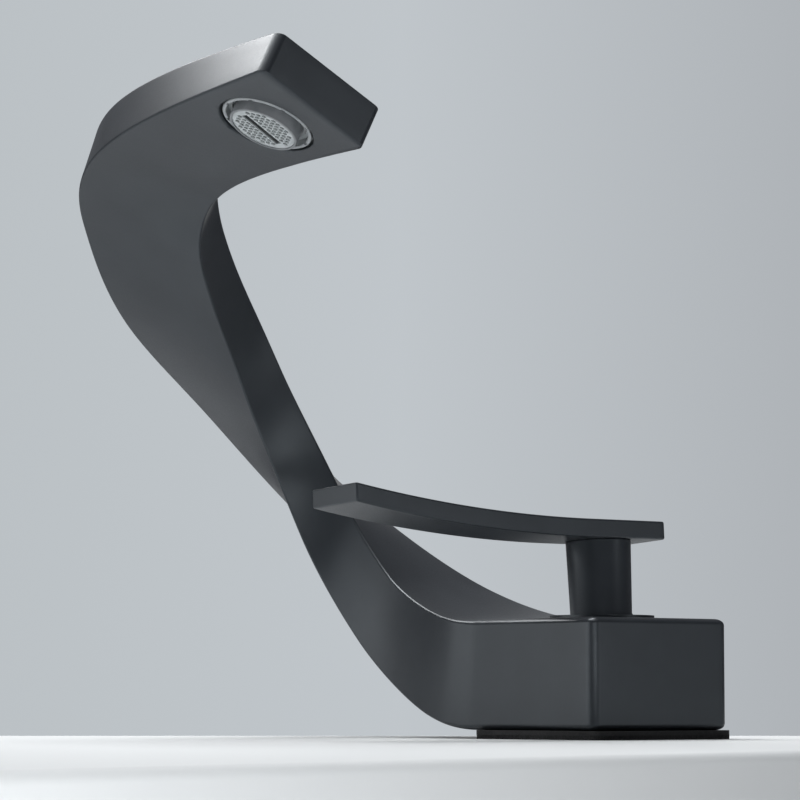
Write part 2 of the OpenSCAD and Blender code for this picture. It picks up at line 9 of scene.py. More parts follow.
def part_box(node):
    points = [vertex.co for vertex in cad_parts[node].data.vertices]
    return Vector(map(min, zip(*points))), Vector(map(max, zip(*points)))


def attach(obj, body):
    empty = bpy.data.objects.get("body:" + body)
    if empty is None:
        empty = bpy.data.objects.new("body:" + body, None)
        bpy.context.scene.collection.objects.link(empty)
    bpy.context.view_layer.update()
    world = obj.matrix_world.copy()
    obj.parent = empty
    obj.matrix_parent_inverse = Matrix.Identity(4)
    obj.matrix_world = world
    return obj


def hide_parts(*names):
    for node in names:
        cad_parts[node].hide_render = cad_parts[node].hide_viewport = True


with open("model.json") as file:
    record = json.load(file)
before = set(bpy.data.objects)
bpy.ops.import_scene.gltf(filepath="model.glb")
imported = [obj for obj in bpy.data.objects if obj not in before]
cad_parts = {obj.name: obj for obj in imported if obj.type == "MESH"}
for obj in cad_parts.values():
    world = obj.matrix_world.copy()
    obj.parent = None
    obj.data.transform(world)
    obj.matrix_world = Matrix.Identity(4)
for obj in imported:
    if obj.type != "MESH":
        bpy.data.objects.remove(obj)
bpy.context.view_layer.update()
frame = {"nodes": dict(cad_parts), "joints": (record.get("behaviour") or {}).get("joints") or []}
scene = bpy.context.scene
scene.view_settings.view_transform = "Standard"
mm = 0.001
print("frame loaded")

# camera
view = {"azimuth": 49.189, "distance": 964.767 * mm, "height": 10.115 * mm,
        "yaw": 3.374, "pitch": 5.06, "roll": 0.0, "lens": 153.9}


def addCamera():
    data = bpy.data.cameras.new("camera")
    data.lens = view["lens"]
    data.sensor_width = 36
    data.clip_start = 0.01
    camera = bpy.data.objects.new("camera", data)
    turn = radians(view["azimuth"])
    camera.location = (view["distance"] * sin(turn), -view["distance"] * cos(turn), view["height"])
    heading = Matrix.Rotation(radians(view["azimuth"] + view["yaw"]), 4, "Z")
    lifting = Matrix.Rotation(radians(90 + view["pitch"]), 4, "X")
    rolling = Matrix.Rotation(radians(view["roll"]), 4, "Z")
    camera.rotation_euler = (heading @ lifting @ rolling).to_euler()
    scene.collection.objects.link(camera)
    scene.camera = camera


addCamera()
print("camera placed")


# materials
def newMaterial(name, look):
    material = bpy.data.materials.new(name)
    material.use_nodes = True
    shader = material.node_tree.nodes["Principled BSDF"]
    for socket, value in look.items():
        shader.inputs[socket].default_value = value
    return material, material.node_tree, shader


def addNode(tree, kind, **settings):
    node = tree.nodes.new(kind)
    for name, value in settings.items():
        if hasattr(node, name):
            setattr(node, name, value)
        else:
            node.inputs[name].default_value = value
    return node



def patternOf(tree, size, detail=3.0, roughness=0.55, stretch=(1, 1, 1)):
    # noise whose grains are about size metres wide, in the piece's own coordinates
    place = addNode(tree, "ShaderNodeTexCoord")
    mapping = addNode(tree, "ShaderNodeMapping", Scale=stretch)
    noise = addNode(tree, "ShaderNodeTexNoise", Scale=1 / size, Detail=detail, Roughness=roughness)
    tree.links.new(place.outputs["Object"], mapping.inputs["Vector"])
    tree.links.new(mapping.outputs["Vector"], noise.inputs["Vector"])
    return noise.outputs["Fac"]


def rampOf(tree, source, stops):
    ramp = addNode(tree, "ShaderNodeValToRGB")
    band = ramp.color_ramp
    while len(band.elements) < len(stops):
        band.elements.new(0.5)
    for element, (position, color) in zip(band.elements, stops):
        element.position = position
        element.color = (*color, 1) if len(color) == 3 else color
    tree.links.new(source, ramp.inputs["Fac"])
    return ramp.outputs["Color"]


def rangeOf(tree, source, low, high, fromLow=0.3, fromHigh=0.7):
    change = addNode(tree, "ShaderNodeMapRange")
    for socket, value in (("From Min", fromLow), ("From Max", fromHigh), ("To Min", low), ("To Max", high)):
        change.inputs[socket].default_value = value
    tree.links.new(source, change.inputs["Value"])
    return change.outputs["Result"]


def bumpOf(tree, shader, height, depth, strength=1.0, under=None):
    bump = addNode(tree, "ShaderNodeBump", Strength=strength, Distance=depth)
    tree.links.new(height, bump.inputs["Height"])
    if under is not None:
        tree.links.new(under, bump.inputs["Normal"])
    tree.links.new(bump.outputs["Normal"], shader.inputs["Normal"])
    return bump.outputs["Normal"]


coating = {"dark": (0.0150, 0.0170, 0.0205), "light": (0.0200, 0.0228, 0.0270), "sheen": (0.84, 0.93, 1.0, 1),
           "cloud": 18 * mm, "roughLow": 0.31, "roughHigh": 0.39, "grain": 0.35 * mm, "grainDepth": 0.006 * mm,
           "peel": 2.2 * mm, "peelDepth": 0.012 * mm}


def blackCoating():
    # satin-matte coating: faint clouds, fine grain and a little orange peel
    material, tree, shader = newMaterial("blackCoating", {"Specular Tint": coating["sheen"]})
    clouds = patternOf(tree, coating["cloud"], 4)
    tree.links.new(rampOf(tree, clouds, [(0.35, coating["dark"]), (0.65, coating["light"])]),
                   shader.inputs["Base Color"])
    grain = patternOf(tree, coating["grain"], 2)
    tree.links.new(rangeOf(tree, grain, coating["roughLow"], coating["roughHigh"]), shader.inputs["Roughness"])
    peel = patternOf(tree, coating["peel"], 1)
    soft = bumpOf(tree, shader, peel, coating["peelDepth"])
    bumpOf(tree, shader, grain, coating["grainDepth"], under=soft)
    return material


def rubber():
    material, tree, shader = newMaterial("blackRubber", {"Specular IOR Level": 0.3})
    clouds = patternOf(tree, 6 * mm, 4)
    tree.links.new(rampOf(tree, clouds, [(0.3, (0.008, 0.008, 0.009)), (0.7, (0.020, 0.020, 0.021))]),
                   shader.inputs["Base Color"])
    grain = patternOf(tree, 0.5 * mm, 3)
    tree.links.new(rangeOf(tree, grain, 0.55, 0.8), shader.inputs["Roughness"])
    bumpOf(tree, shader, grain, 0.03 * mm)
    return material


def foam():
    material, tree, shader = newMaterial("blackFoam", {"Specular IOR Level": 0.2})
    cells = patternOf(tree, 0.6 * mm, 2, 0.7)
    tree.links.new(rampOf(tree, cells, [(0.35, (0.006, 0.006, 0.006)), (0.65, (0.028, 0.028, 0.029))]),
                   shader.inputs["Base Color"])
    tree.links.new(rangeOf(tree, cells, 0.7, 0.95), shader.inputs["Roughness"])
    bumpOf(tree, shader, cells, 0.12 * mm)
    return material


def metal(name, color, roughLow, roughHigh, stretch=(1, 1, 0.06)):
    # turned or drawn metal: streaks run along z
    material, tree, shader = newMaterial(name, {"Metallic": 1.0})
    streaks = patternOf(tree, 0.25 * mm, 3, 0.6, stretch)
    clouds = patternOf(tree, 7 * mm, 3)
    dull = tuple(0.82 * channel for channel in color)
    tree.links.new(rampOf(tree, clouds, [(0.3, dull), (0.7, color)]), shader.inputs["Base Color"])
    tree.links.new(rangeOf(tree, streaks, roughLow, roughHigh), shader.inputs["Roughness"])
    bumpOf(tree, shader, streaks, 0.01 * mm)
    return material


def plastic(name, dark, light, roughLow, roughHigh, coat=0.0):
    material, tree, shader = newMaterial(name, {"Coat Weight": coat, "Coat Roughness": 0.08})
    clouds = patternOf(tree, 3 * mm, 4)
    tree.links.new(rampOf(tree, clouds, [(0.3, dark), (0.7, light)]), shader.inputs["Base Color"])
    grain = patternOf(tree, 0.3 * mm, 2)
    tree.links.new(rangeOf(tree, grain, roughLow, roughHigh), shader.inputs["Roughness"])
    bumpOf(tree, shader, grain, 0.008 * mm)
    return material


finishes = {
    "black": blackCoating(),
    "rubber": rubber(),
    "foam": foam(),
    "brass": metal("brass", (0.72, 0.55, 0.27), 0.28, 0.42),
    "steel": metal("steel", (0.60, 0.61, 0.62), 0.25, 0.40),
    "whitePlastic": plastic("whitePlastic", (0.62, 0.62, 0.59), (0.72, 0.72, 0.69), 0.35, 0.5),
    "greyPlastic": plastic("greyPlastic", (0.06, 0.065, 0.07), (0.10, 0.105, 0.11), 0.3, 0.45),
    "ringPlastic": plastic("ringPlastic", (0.22, 0.24, 0.25), (0.32, 0.34, 0.35), 0.25, 0.4, 0.3),
    "insertPlastic": plastic("insertPlastic", (0.13, 0.14, 0.15), (0.18, 0.19, 0.20), 0.28, 0.4, 0.3),
    # painted shade: the mixing disc is made near black so that the screen's holes look dark, as shade inside the
    # outlet
    "discPaintedShade": plastic("discPaintedShade", (0.010, 0.010, 0.011), (0.018, 0.018, 0.019), 0.45, 0.6, 0.3),
    "screenPlastic": plastic("screenPlastic", (0.34, 0.37, 0.38), (0.46, 0.49, 0.50), 0.12, 0.25, 0.8),
    "ceramic": plastic("ceramic", (0.74, 0.72, 0.66), (0.82, 0.80, 0.75), 0.12, 0.22),
}
print("materials made")


# mesh helpers
def bevelEdges(bm, edges, width, segments=3):
    bmesh.ops.bevel(bm, geom=edges, offset=width, offset_type="OFFSET", segments=segments, profile=0.5,
                    affect="EDGES", clamp_overlap=True, loop_slide=True, material=-1)


def sharpEdges(bm, angle=30):
    return [edge for edge in bm.edges if edge.is_manifold and edge.calc_face_angle() > radians(angle)]


def lathe(bm, profile, steps=96, closed=False):
    # turns (radius, height) points round z; a closed profile makes a ring
    corners = [bm.verts.new((radius, 0, height)) for radius, height in profile]
    lines = [bm.edges.new(pair) for pair in zip(corners, corners[1:])]
    if closed:
        lines.append(bm.edges.new((corners[-1], corners[0])))
    bmesh.ops.spin(bm, geom=corners + lines, cent=(0, 0, 0), axis=(0, 0, 1), angle=2 * pi, steps=steps,
                   use_merge=True, use_duplicate=False)
    bmesh.ops.remove_doubles(bm, verts=bm.verts, dist=1e-7)
    bmesh.ops.dissolve_degenerate(bm, edges=bm.edges, dist=1e-8)
    bmesh.ops.recalc_face_normals(bm, faces=bm.faces)


def addPiece(name, bm, finish, body, replaced=(), smooth=35, place=None):
    if place is not None:
        bmesh.ops.transform(bm, matrix=place, verts=bm.verts)
    mesh = bpy.data.meshes.new(name)
    bm.to_mesh(mesh)
    bm.free()
    mesh.materials.append(finishes[finish])
    mesh.shade_smooth()
    mesh.set_sharp_from_angle(angle=radians(smooth))
    piece = bpy.data.objects.new(name, mesh)
    scene.collection.objects.link(piece)
    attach(piece, body)
    if replaced:
        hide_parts(*replaced)
    return piece


def evenNormals(piece):
    # keeps broad faces evenly shaded beside their small round edges
    modifier = piece.modifiers.new("evenNormals", "WEIGHTED_NORMAL")
    modifier.mode = "FACE_AREA"
    modifier.keep_sharp = True


# the block and the ribbon
spout = {"blockSide": 50 * mm, "blockHeight": 31 * mm, "side": 98 * mm, "front": 112 * mm, "rise": 151 * mm,
         "blockRings": 14, "ribbonRings": 240, "acrossCuts": 7, "throughCuts": 3,
         # a rounding of this share is bevelled on the straight bar and then takes the real radii
         "share": 0.05, "segments": 6, "blend": 0.8, "blockEnd": 3 * mm, "tipEnd": 3 * mm,
         # along the bar: the rounding of the sides and of the upper and lower faces
         "edges": [(-1.0, 2.8 * mm, 1.8 * mm), (0.0, 2.0 * mm, 1.7 * mm), (1.0, 0.7 * mm, 0.7 * mm),
                   (7.6, 0.7 * mm, 0.7 * mm), (8.0, 2.4 * mm, 0.7 * mm)],
         # sideways, forward and upward shares of the reaches, then width, thickness and lean
         "stations": [
             (0, 0, 0, 50, 31, 0),
             (0.13, 0, 0, 53, 30.5, 1),
             (0.59, -0.035, 0.1, 50, 21, -8),
             (0.9, 0.1, 0.31, 45, 17, 1),
             (1, 0.34, 0.57, 44, 14, 14),
             (0.94, 0.56, 0.71, 42, 15.5, 18),
             (0.745, 0.775, 0.84, 38, 14.5, 21),
             (0.46, 1, 0.985, 36, 15, 16),
             (-0.46, 1, 1, 37, 13, 28)]}
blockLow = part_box("body")[0].z
blockTop = blockLow + spout["blockHeight"]
blockMid = blockLow + spout["blockHeight"] / 2


def placedStations():
    path = []
    for across, forward, upward, width, thickness, bank in spout["stations"]:
        path.append((-spout["blockSide"] / 2 - spout["side"] * across, -spout["front"] * forward,
                     blockMid + spout["rise"] * upward, width * mm, thickness * mm, radians(bank)))
    path.insert(0, tuple(2 * near - far for near, far in zip(path[0], path[1])))
    path.append(tuple(2 * near - far for near, far in zip(path[-1], path[-2])))
    return path


knots = placedStations()


def mixed(shares, first):
    return [sum(share * knots[first + k][axis] for k, share in enumerate(shares)) for axis in range(6)]


def ribbonAt(u):
    # place, direction, inner side, upper face, width and thickness of the ribbon at station u
    first = min(int(u), len(knots) - 4)
    t = u - first
    here = mixed([(1 - t) ** 3 / 6, (3 * t ** 3 - 6 * t ** 2 + 4) / 6,
                  (-3 * t ** 3 + 3 * t ** 2 + 3 * t + 1) / 6, t ** 3 / 6], first)
    slope = mixed([-(1 - t) ** 2 / 2, (3 * t ** 2 - 4 * t) / 2, (-3 * t ** 2 + 2 * t + 1) / 2, t ** 2 / 2], first)
    along = Vector(slope[:3]).normalized()
    level = Vector((-slope[1], slope[0], 0)).normalized()
    side = level * cos(here[5]) - along.cross(level) * sin(here[5])
    width = here[3]
    if u < spout["blend"]:
        # the ribbon leaves the block's side face without a kink
        t = u / spout["blend"]
        width = knots[1][3] + (width - knots[1][3]) * t * t * (3 - 2 * t)
    return Vector(here[:3]), along, side, along.cross(side), width, here[4]


lastStation = len(spout["stations"]) - 1


def edgeRadii(u):
    for (low, sideLow, upLow), (high, sideHigh, upHigh) in zip(spout["edges"], spout["edges"][1:]):
        if u <= high:
            t = (u - low) / (high - low)
            return sideLow + t * (sideHigh - sideLow), upLow + t * (upHigh - upLow)
    return spout["edges"][-1][1:]


def rounded(value, half, radius):
    # carries a coordinate of the unit bar, rounded by the share at its rim, to the real half width and radius
    flat = 0.5 - spout["share"]
    size = abs(value)
    reach = size / flat * (half - radius) if size <= flat else half - radius + (size - flat) / spout["share"] * radius
    return reach if value >= 0 else -reach


def bodyPoint(x, y, z):
    # a point of the straight bar, carried onto the block (u below 0) or the ribbon (u above 0)
    side, ribbon = spout["blockSide"], (Vector(knots[-2][:3]) - Vector(knots[-3][:3])).length
    flat = 0.5 - spout["share"]
    low = -1 + spout["blockEnd"] / side
    high = lastStation - spout["tipEnd"] / ribbon
    if x < -flat:
        u = -1 + (x + 0.5) / spout["share"] * spout["blockEnd"] / side
    elif x > flat:
        u = lastStation - (0.5 - x) / spout["share"] * spout["tipEnd"] / ribbon
    else:
        rings = spout["blockRings"] + spout["ribbonRings"]
        ring = (x + flat) / (2 * flat) * rings - spout["blockRings"]
        u = -ring / spout["blockRings"] * low if ring < 0 else ring / spout["ribbonRings"] * high
    sideRadius, upRadius = edgeRadii(u)
    if u < 0:
        middle, inward, up = Vector((-side / 2 - side * u, 0, blockMid)), Vector((0, -1, 0)), Vector((0, 0, 1))
        width, thickness = side, spout["blockHeight"]
    else:
        middle, along, inward, up, width, thickness = ribbonAt(u)
    return middle + inward * rounded(y, width / 2, sideRadius) + up * rounded(z, thickness / 2, upRadius)


def cutterAlong(profile, matrix, steps=96):
    # a turned body that is taken away from a piece
    bm = bmesh.new()
    lathe(bm, profile, steps)
    bmesh.ops.transform(bm, matrix=matrix, verts=bm.verts)
    return asCutter(bm)


def degreesOf(ratio):
    # the angle whose sine is the ratio
    return degrees(asin(ratio))


def threaded(radius, depth, low, high, pitch):
    # the profile of a threaded hole or bar, its turns as closed grooves
    profile = [(0, low), (radius, low)]
    height = low + pitch
    while height + pitch < high:
        profile += [(radius, height), (radius - depth, height + pitch * 0.5)]
        height += pitch
    return profile + [(radius, height), (radius, high), (0, high)]


def asCutter(bm):
    bmesh.ops.recalc_face_normals(bm, faces=bm.faces)
    mesh = bpy.data.meshes.new("cutter")
    bm.to_mesh(mesh)
    bm.free()
    cutter = bpy.data.objects.new("cutter", mesh)
    scene.collection.objects.link(cutter)
    return cutter


def cutOut(piece, cutters):
    for cutter in cutters:
        modifier = piece.modifiers.new("cut", "BOOLEAN")
        modifier.operation = "DIFFERENCE"
        modifier.solver = "EXACT"
        modifier.object = cutter
    bpy.context.view_layer.update()
    done = bpy.data.meshes.new_from_object(piece.evaluated_get(bpy.context.evaluated_depsgraph_get()))
    piece.modifiers.clear()
    old = piece.data
    piece.data = done
    bpy.data.meshes.remove(old)
    for cutter in cutters:
        bpy.data.objects.remove(cutter)


# the outlet's own axes: x along the ribbon, z outwards
outlet = {"inset": 22 * mm, "radius": 13 * mm, "gap": 0.03 * mm, "rimDrop": 0.6 * mm, "depth": 9.3 * mm,
          "chamfer": 0.3 * mm, "chamber": 1.5 * mm, "ballDrop": 5.3 * mm, "restTilt": 3, "restTurn": 205}
bores = {"cartridge": 13.05 * mm, "nut": 14.03 * mm, "stud": 4.03 * mm, "studDepth": 6 * mm, "studFront": 13.5 * mm,
         "inlet": 4.46 * mm, "inletDepth": 5 * mm, "inletAcross": 7 * mm, "inletBack": 5 * mm}


def outletMatrix():
    length = (Vector(knots[-2][:3]) - Vector(knots[-3][:3])).length
    middle, along, side, up, width, thickness = ribbonAt(lastStation - outlet["inset"] / length)
    outward = -up
    matrix = Matrix((along, outward.cross(along), outward)).transposed().to_4x4()
    matrix.translation = middle + outward * thickness / 2
    return matrix


outletPlace = outletMatrix()
nozzlePlace = (outletPlace @ Matrix.Translation((0, 0, -outlet["ballDrop"]))
               @ Matrix.Rotation(radians(outlet["restTurn"]), 4, "Z")
               @ Matrix.Rotation(radians(outlet["restTilt"]), 4, "X")
               @ Matrix.Rotation(radians(-outlet["restTurn"]), 4, "Z"))


def makeBody():
    bm = bmesh.new()
    bmesh.ops.create_cube(bm, size=1)
    bevelEdges(bm, list(bm.edges), spout["share"], spout["segments"])
    rings = spout["blockRings"] + spout["ribbonRings"]
    for axis, cuts in ((1, spout["acrossCuts"]), (2, spout["throughCuts"]), (0, rings - 1)):
        lines = [edge for edge in bm.edges if abs(edge.verts[0].co[axis] - edge.verts[1].co[axis]) > 0.5]
        bmesh.ops.subdivide_edges(bm, edges=lines, cuts=cuts, use_grid_fill=True)
    for vert in bm.verts:
        vert.co = bodyPoint(*vert.co)
    bmesh.ops.recalc_face_normals(bm, faces=bm.faces)
    body = addPiece("bodyShell", bm, "black", "faucet", ["body"], smooth=50)
    bore, chamfer = outlet["radius"] + outlet["gap"], outlet["chamfer"]
    floor = -outlet["rimDrop"] - outlet["depth"] - outlet["chamber"]
    seat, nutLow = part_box("cartridge_housing")[0].z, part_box("cartridge_nut")[0].z
    cutters = [
        cutterAlong([(0, floor), (bore, floor), (bore, -chamfer), (bore + chamfer + 1 * mm, 1 * mm), (0, 1 * mm)],
                    outletPlace),
        cutterAlong([(0, seat), (bores["cartridge"], seat), (bores["cartridge"], nutLow), (bores["nut"], nutLow),
                     (bores["nut"], blockTop + 1 * mm), (0, blockTop + 1 * mm)], Matrix.Identity(4)),
        cutterAlong(threaded(bores["stud"], -0.35 * mm, blockLow - 1 * mm, blockLow + bores["studDepth"], 1.25 * mm),
                    Matrix.Translation((0, -bores["studFront"], 0)), 48)]
    for sign in (-1, 1):
        cutters.append(cutterAlong(
            threaded(bores["inlet"], -0.4 * mm, blockLow - 1 * mm, blockLow + bores["inletDepth"], 1 * mm),
            Matrix.Translation((sign * bores["inletAcross"], bores["inletBack"], 0)), 48))
    cutOut(body, cutters)
    body.data.shade_smooth()
    body.data.set_sharp_from_angle(angle=radians(50))
    evenNormals(body)


makeBody()
print("body made")

# stem and lever lean together to the left about the pivot
handle = {"stemTop": 55.5 * mm, "lean": 3.3}
pivot = frame["joints"][1]["pos_m"][2]
leaned = Matrix.Translation((0, 0, pivot)) @ Matrix.Rotation(-radians(handle["lean"]), 4, "Y") @ Matrix.Translation(
    (0, 0, -pivot))

# the lever
lever = {"width": 20 * mm, "thickness": 5.2 * mm, "front": 92 * mm, "back": 16.5 * mm, "flat": 10 * mm,
         "rise": 7.1 * mm, "edge": 0.6 * mm, "cuts": 60}


def makeLever():
    low = handle["stemTop"]
    bm = bmesh.new()
    bmesh.ops.create_cube(bm, size=1)
    lines = [edge for edge in bm.edges if abs((edge.verts[0].co - edge.verts[1].co).y) > 0.5]
    bmesh.ops.subdivide_edges(bm, edges=lines, cuts=lever["cuts"], use_grid_fill=True)
    arc = lever["front"] - lever["flat"]
    bend = (arc ** 2 + lever["rise"] ** 2) / (2 * lever["rise"])
    back = lever["back"] + lever["flat"]
    length = back + arc

    def leverPoint(x, y, z):
        # y runs from the back, over the stem, to the front
        reach = (0.5 - y) * length
        height = (z + 0.5) * lever["thickness"]
        if reach <= back:
            return Vector((x * lever["width"], lever["back"] - reach, low + height))
        angle = (reach - back) / arc
        forward = arc * angle
        base = bend - (bend ** 2 - forward ** 2) ** 0.5
        return Vector((x * lever["width"], -lever["flat"] - forward, low + base + height))

    for vert in bm.verts:
        vert.co = leaned @ leverPoint(*vert.co)
    bevelEdges(bm, sharpEdges(bm), lever["edge"], 3)
    bmesh.ops.recalc_face_normals(bm, faces=bm.faces)
    piece = addPiece("leverBar", bm, "black", "handle", ["lever"], smooth=60)
    evenNormals(piece)


makeLever()

# the stem
stem = {"foot": 8.7 * mm, "top": 9.2 * mm, "ball": 10.5 * mm, "hollow": 8.6 * mm, "edge": 0.35 * mm, "steps": 128}


def makeStem():
    ballRadius, inner = stem["ball"], stem["hollow"]
    start = pivot - 1 * mm
    neck = pivot + (ballRadius ** 2 - stem["foot"] ** 2) ** 0.5
    profile = [(inner, start), (ballRadius, start)]
    for k in range(1, 8):
        angle = k / 8 * (neck - pivot) / ballRadius
        profile.append((ballRadius * cos(angle), pivot + ballRadius * sin(angle)))
    profile += [(stem["foot"], neck), (stem["top"], handle["stemTop"]), (0, handle["stemTop"])]
    inside = [(0, pivot + inner)]
    for k in range(1, 12):
        angle = pi / 2 * (1 - k / 12)
        inside.append((inner * cos(angle), pivot + inner * sin(angle)))
    inside.append((inner, pivot))
    bm = bmesh.new()
    lathe(bm, inside + profile, stem["steps"])
    # the ball stays, and the column above it leans
    for vert in bm.verts:
        if vert.co.z > neck - 0.01 * mm and (vert.co - Vector((0, 0, pivot))).length > ballRadius - 0.01 * mm:
            vert.co = leaned @ vert.co
    bevelEdges(bm, [edge for edge in sharpEdges(bm, 60)], stem["edge"], 3)
    bmesh.ops.recalc_face_normals(bm, faces=bm.faces)
    addPiece("stemColumn", bm, "black", "handle", ["stem"], smooth=40)


makeStem()
print("handle made")

# the outlet's screwed ring, the tilting insert and its screen
ring = {"outer": 13 * mm, "rimOuter": 12.5 * mm, "rimInner": 11.5 * mm, "rimTop": -0.3 * mm, "step": -2.1 * mm,
        "recess": -2.4 * mm, "socket": 10.85 * mm, "bottom": -9.9 * mm, "round": 0.15 * mm,
        "notches": 8, "notchWidth": 1.3 * mm, "notchDepth": 2 * mm, "notchReach": 0.6 * mm, "notchTurn": 15}


def arcPoints(radius, start, end, steps, shift=0.0):
    # points (radius, height) on a ball about the axis, between two angles from the level
    angles = [radians(start + (end - start) * k / steps) for k in range(steps + 1)]
    return [(radius * cos(angle), radius * sin(angle) + shift) for angle in angles]


def makeRing():
    drop, r = -outlet["ballDrop"], ring["round"]
    open_ = sqrt(ring["socket"] ** 2 - (ring["recess"] - drop) ** 2)
    start = (ring["recess"] - drop) / ring["socket"]
    socket = arcPoints(ring["socket"], 0, degreesOf(start), 12, drop)
    profile = [(ring["outer"], ring["bottom"]), (ring["outer"], ring["step"]), (ring["rimOuter"], ring["step"]),
               (ring["rimOuter"], ring["rimTop"] - r), (ring["rimOuter"] - r, ring["rimTop"]),
               (ring["rimInner"] + r, ring["rimTop"]), (ring["rimInner"], ring["rimTop"] - r),
               (ring["rimInner"], ring["recess"]), (open_ + r, ring["recess"])]
    profile += socket[::-1] + [(ring["socket"], ring["bottom"])]
    bm = bmesh.new()
    lathe(bm, profile, 128, closed=True)
    piece = addPiece("outletRing", bm, "ringPlastic", "faucet", ["outlet_housing"], place=outletPlace)
    bm = bmesh.new()
    for k in range(ring["notches"]):
        box = bmesh.ops.create_cube(bm, size=1)
        reach = 1 * mm + ring["notchReach"]
        size = Matrix.Diagonal((reach, ring["notchWidth"], ring["notchDepth"] + 1 * mm, 1))
        shift = Matrix.Translation((ring["rimInner"] - 1 * mm + reach / 2, 0,
                                    ring["rimTop"] - ring["notchDepth"] / 2 + 0.5 * mm))
        turn = Matrix.Rotation(radians(ring["notchTurn"] + 360 * k / ring["notches"]), 4, "Z")
        bmesh.ops.transform(bm, matrix=outletPlace @ turn @ shift @ size, verts=box["verts"])
    cutOut(piece, [asCutter(bm)])
    piece.data.shade_smooth()
    piece.data.set_sharp_from_angle(angle=radians(35))


makeRing()

insert = {"ball": 10.8 * mm, "ballLow": -3 * mm, "ballHigh": 2.6 * mm, "radius": 9.6 * mm, "top": 7.1 * mm,
          "wall": 0.7 * mm, "bore": 7.9 * mm, "ledge": 5.6 * mm, "round": 0.3 * mm}


def makeInsert():
    r = insert["round"]
    low, high = (degreesOf(insert[name] / insert["ball"]) for name in ("ballLow", "ballHigh"))
    inner = insert["radius"] - insert["wall"]
    profile = arcPoints(insert["ball"], low, high, 16)
    profile += [(insert["radius"] + r, insert["ballHigh"]), (insert["radius"], insert["ballHigh"] + r),
                (insert["radius"], insert["top"] - r), (insert["radius"] - 0.3 * r, insert["top"] - 0.3 * r),
                (insert["radius"] - r, insert["top"]), (inner, insert["top"]), (inner, insert["ledge"]),
                (insert["bore"], insert["ledge"]), (insert["bore"], insert["ballLow"])]
    bm = bmesh.new()
    lathe(bm, profile, 128, closed=True)
    addPiece("outletInsert", bm, "insertPlastic", "nozzle", ["swivel_ball"], place=nozzlePlace)


makeInsert()

screen = {"radius": 8.87 * mm, "low": 6.4 * mm, "thick": 0.4 * mm, "pitch": 1.62 * mm, "cell": 0.78 * mm,
          "rim": 0.15 * mm, "slotWidth": 2.2 * mm, "slotLength": 13.4 * mm, "slotOff": 0.8 * mm, "turn": 85,
          "slotWall": 0.1 * mm}


def makeScreen():
    bm = bmesh.new()
    top = screen["low"] + screen["thick"]
    lathe(bm, [(0, screen["low"]), (screen["radius"], screen["low"]), (screen["radius"], top), (0, top)], 96)
    piece = addPiece("outletScreen", bm, "screenPlastic", "nozzle", ["spray_screen"])
    bm = bmesh.new()
    pitch, cell = screen["pitch"], screen["cell"]
    row = pitch * sqrt(3) / 2
    keep = screen["slotWidth"] / 2 + cell + screen["slotWall"]
    for j in range(-6, 7):
        for i in range(-6, 7):
            x, y = (i + (j % 2) / 2) * pitch, j * row
            inSlot = abs(y - screen["slotOff"]) < keep and abs(x) < screen["slotLength"] / 2 + cell
            if (x ** 2 + y ** 2) ** 0.5 + cell + screen["rim"] > screen["radius"] or inSlot:
                continue
            hole = bmesh.ops.create_cone(bm, cap_ends=True, segments=6, radius1=cell * 0.86, radius2=cell,
                                         depth=screen["thick"] + 0.4 * mm)
            bmesh.ops.transform(bm, matrix=Matrix.Translation((x, y, screen["low"] + screen["thick"] / 2)),
                                verts=hole["verts"])
    slot = bmesh.ops.create_cube(bm, size=1)
    bmesh.ops.transform(bm, matrix=Matrix.Translation((0, screen["slotOff"], screen["low"] + screen["thick"] / 2))
                        @ Matrix.Diagonal((screen["slotLength"], screen["slotWidth"], 2 * screen["thick"], 1)),
                        verts=slot["verts"])
    cutOut(piece, [asCutter(bm)])
    turned = nozzlePlace @ Matrix.Rotation(radians(screen["turn"]), 4, "Z")
    piece.data.transform(turned)
    piece.data.set_sharp_from_angle(angle=radians(25))


makeScreen()
print("outlet made")

# carried-over nodes take a finish each
nodeFinishes = {
    "base_gasket": "rubber", "foam_pad": "foam", "trim_ring": "black", "cartridge_nut": "brass",
    "cartridge_housing": "whitePlastic", "cartridge_foot": "whitePlastic", "port_seals": "rubber",
    "housing_seal": "rubber", "fixed_disc": "ceramic", "moving_disc": "ceramic", "disc_carrier": "greyPlastic",
    "rotor": "greyPlastic", "pivot_pin": "steel", "spindle": "steel", "grub_screw": "steel",
    "joint_stud": "steel", "outlet_seal": "rubber",
    # painted shade: the mixing disc takes the near-black finish that stands in for the shade seen through the
    # screen's holes
    "mixing_disc": "discPaintedShade",
    "clamp_stud": "steel", "clamp_rubber": "rubber", "clamp_plate": "steel", "clamp_nut": "brass"}
for node, finish in nodeFinishes.items():
    mesh = frame["nodes"][node].data
    mesh.materials.clear()
    mesh.materials.append(finishes[finish])
print("nodes dressed")

# deck, backdrop and light
# the deck's corners are given as millimetres to the right of the camera and away from it
studio = {"deckFront": [(-62, 516), (88, 736)], "deckBack": [(330, 1060), (-330, 1060)],
          # the front edge runs on to these sides with these shares of its slope
          "leftEnd": -190, "leftShare": 0.6, "rightEnd": 330, "rightShare": 0.5,
          "deckThickness": 20 * mm, "deckEdge": 2.5 * mm, "deckHole": 17.5 * mm, "deckColor": (0.60, 0.62, 0.63, 1),
          "floorRadius": 1.5, "floorHeight": -65 * mm, "floorColor": (0.28, 0.29, 0.30, 1), "backdropSpread": 0.115,
          # painted shade: the backdrop's colour stops make it a little lighter in the middle and darker towards the
          # right
          "backdrop": [(0.0, (0.50, 0.535, 0.56)), (0.5, (0.525, 0.56, 0.59)), (1.0, (0.43, 0.455, 0.48))],
          "surround": (0.10, 0.105, 0.115, 1)}


